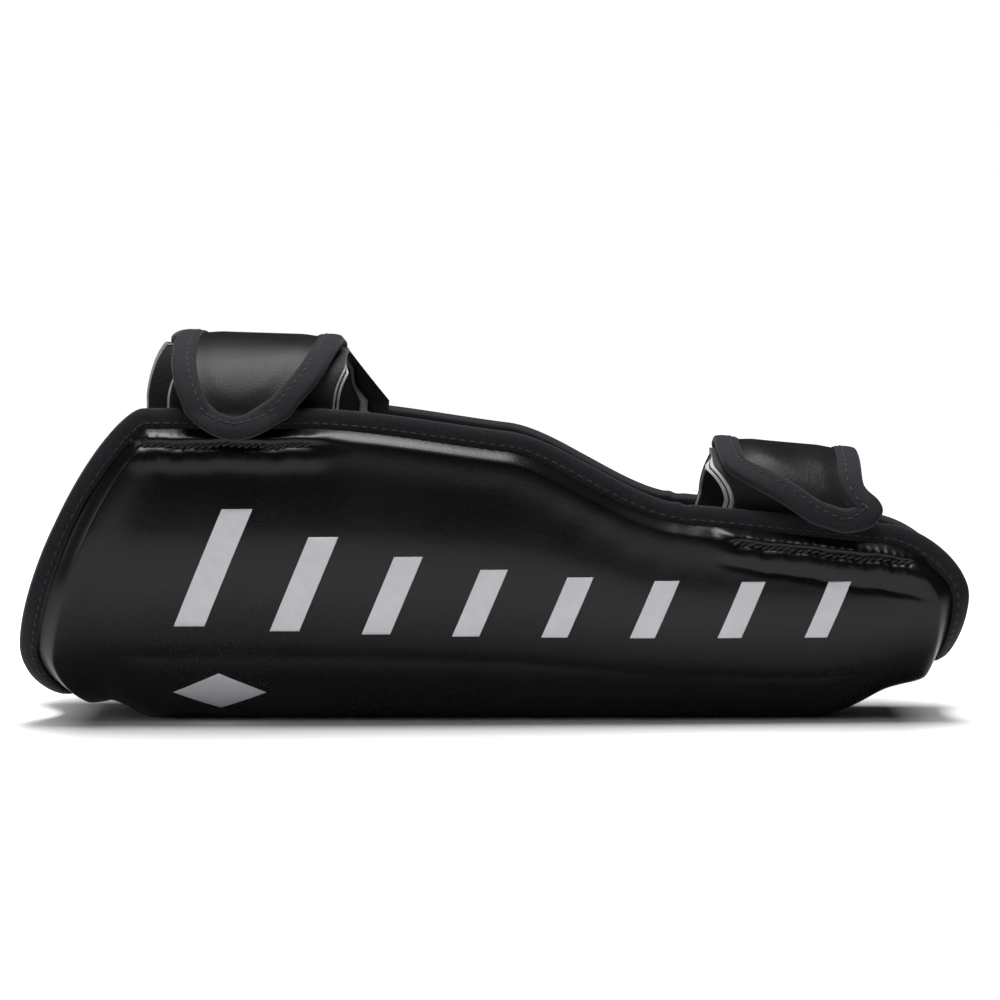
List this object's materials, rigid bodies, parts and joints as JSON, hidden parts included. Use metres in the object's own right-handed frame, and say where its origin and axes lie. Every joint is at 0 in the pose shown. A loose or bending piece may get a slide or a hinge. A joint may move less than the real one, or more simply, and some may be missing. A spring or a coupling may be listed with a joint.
{
  "type": "shin guard",
  "caption": "Padded trough-shaped limb guard with a raised front bar, taped edge and hook-and-loop straps that open across its back.",
  "frame": {"origin": "middle of the bounding box at the flat face of the front bar, which the guard lies on", "axes": "+X from the knee end to the ankle end, +Z from the front bar up out of the open back, -Y the side the straps close on"},
  "size_m": [0.386, 0.1544, 0.16],
  "materials": {
    "cover_leather": "smooth satin synthetic leather",
    "firm_foam": "dense closed-cell foam",
    "soft_foam": "soft open foam",
    "lining_fabric": "smooth lining cloth",
    "edge_tape": "woven tape with a running stitch",
    "elastic": "ribbed elastic with a pale selvedge",
    "strap_leather": "grained synthetic leather",
    "hook_tape": "hook fastener",
    "loop_cloth": "brushed loop cloth",
    "pale_lining": "pale felt lining"
  },
  "bodies": {
    "trough": {"outer_cover": "cover_leather", "firm_foam": "firm_foam", "soft_foam": "soft_foam", "front_bar_foam": "firm_foam", "inner_lining": "lining_fabric", "edge_binding": "edge_tape", "upper_strap_anchor": "elastic", "upper_flap_anchor": "loop_cloth", "lower_strap_anchor": "elastic", "lower_flap_anchor": "loop_cloth"},
    "upper_strap": {"upper_stretch_panel": "elastic", "upper_strap_face": "strap_leather", "upper_strap_backing": "loop_cloth", "upper_strap_binding": "edge_tape"},
    "upper_tab": {"upper_tab_face": "strap_leather", "upper_hook_patch": "hook_tape", "upper_tab_binding": "edge_tape"},
    "upper_flap": {"upper_loop_flap": "loop_cloth", "upper_flap_lining": "pale_lining"},
    "lower_strap": {"lower_stretch_panel": "elastic", "lower_strap_face": "strap_leather", "lower_strap_backing": "loop_cloth", "lower_strap_binding": "edge_tape"},
    "lower_tab": {"lower_tab_face": "strap_leather", "lower_hook_patch": "hook_tape", "lower_tab_binding": "edge_tape"},
    "lower_flap": {"lower_loop_flap": "loop_cloth", "lower_flap_lining": "pale_lining"}
  },
  "joints": [
    {"name": "upper_strap_opens", "type": "hinge", "parent": "trough", "child": "upper_strap", "pos_m": [-0.093, 0.05886, 0.12934], "axis": [-0.9994, 0.0214, 0.026], "range_deg": [0, 105]},
    {"name": "upper_tab_peels", "type": "hinge", "parent": "upper_strap", "child": "upper_tab", "pos_m": [-0.096, -0.01262, 0.15683], "axis": [-0.9999, -0.0019, 0.013], "range_deg": [0, 70]},
    {"name": "upper_flap_folds", "type": "hinge", "parent": "trough", "child": "upper_flap", "pos_m": [-0.098, -0.05896, 0.12947], "axis": [-0.9994, -0.0214, 0.026], "range_deg": [0, 35]},
    {"name": "lower_strap_opens", "type": "hinge", "parent": "trough", "child": "lower_strap", "pos_m": [0.12, 0.03961, 0.08629], "axis": [-0.9887, 0.1082, 0.1043], "range_deg": [0, 105]},
    {"name": "lower_tab_peels", "type": "hinge", "parent": "lower_strap", "child": "lower_tab", "pos_m": [0.121, -0.00929, 0.1114], "axis": [-0.9986, -0.0095, 0.0528], "range_deg": [0, 70]},
    {"name": "lower_flap_folds", "type": "hinge", "parent": "trough", "child": "lower_flap", "pos_m": [0.125, -0.03907, 0.08577], "axis": [-0.9886, -0.1082, 0.1043], "range_deg": [0, 35]}
  ]
}
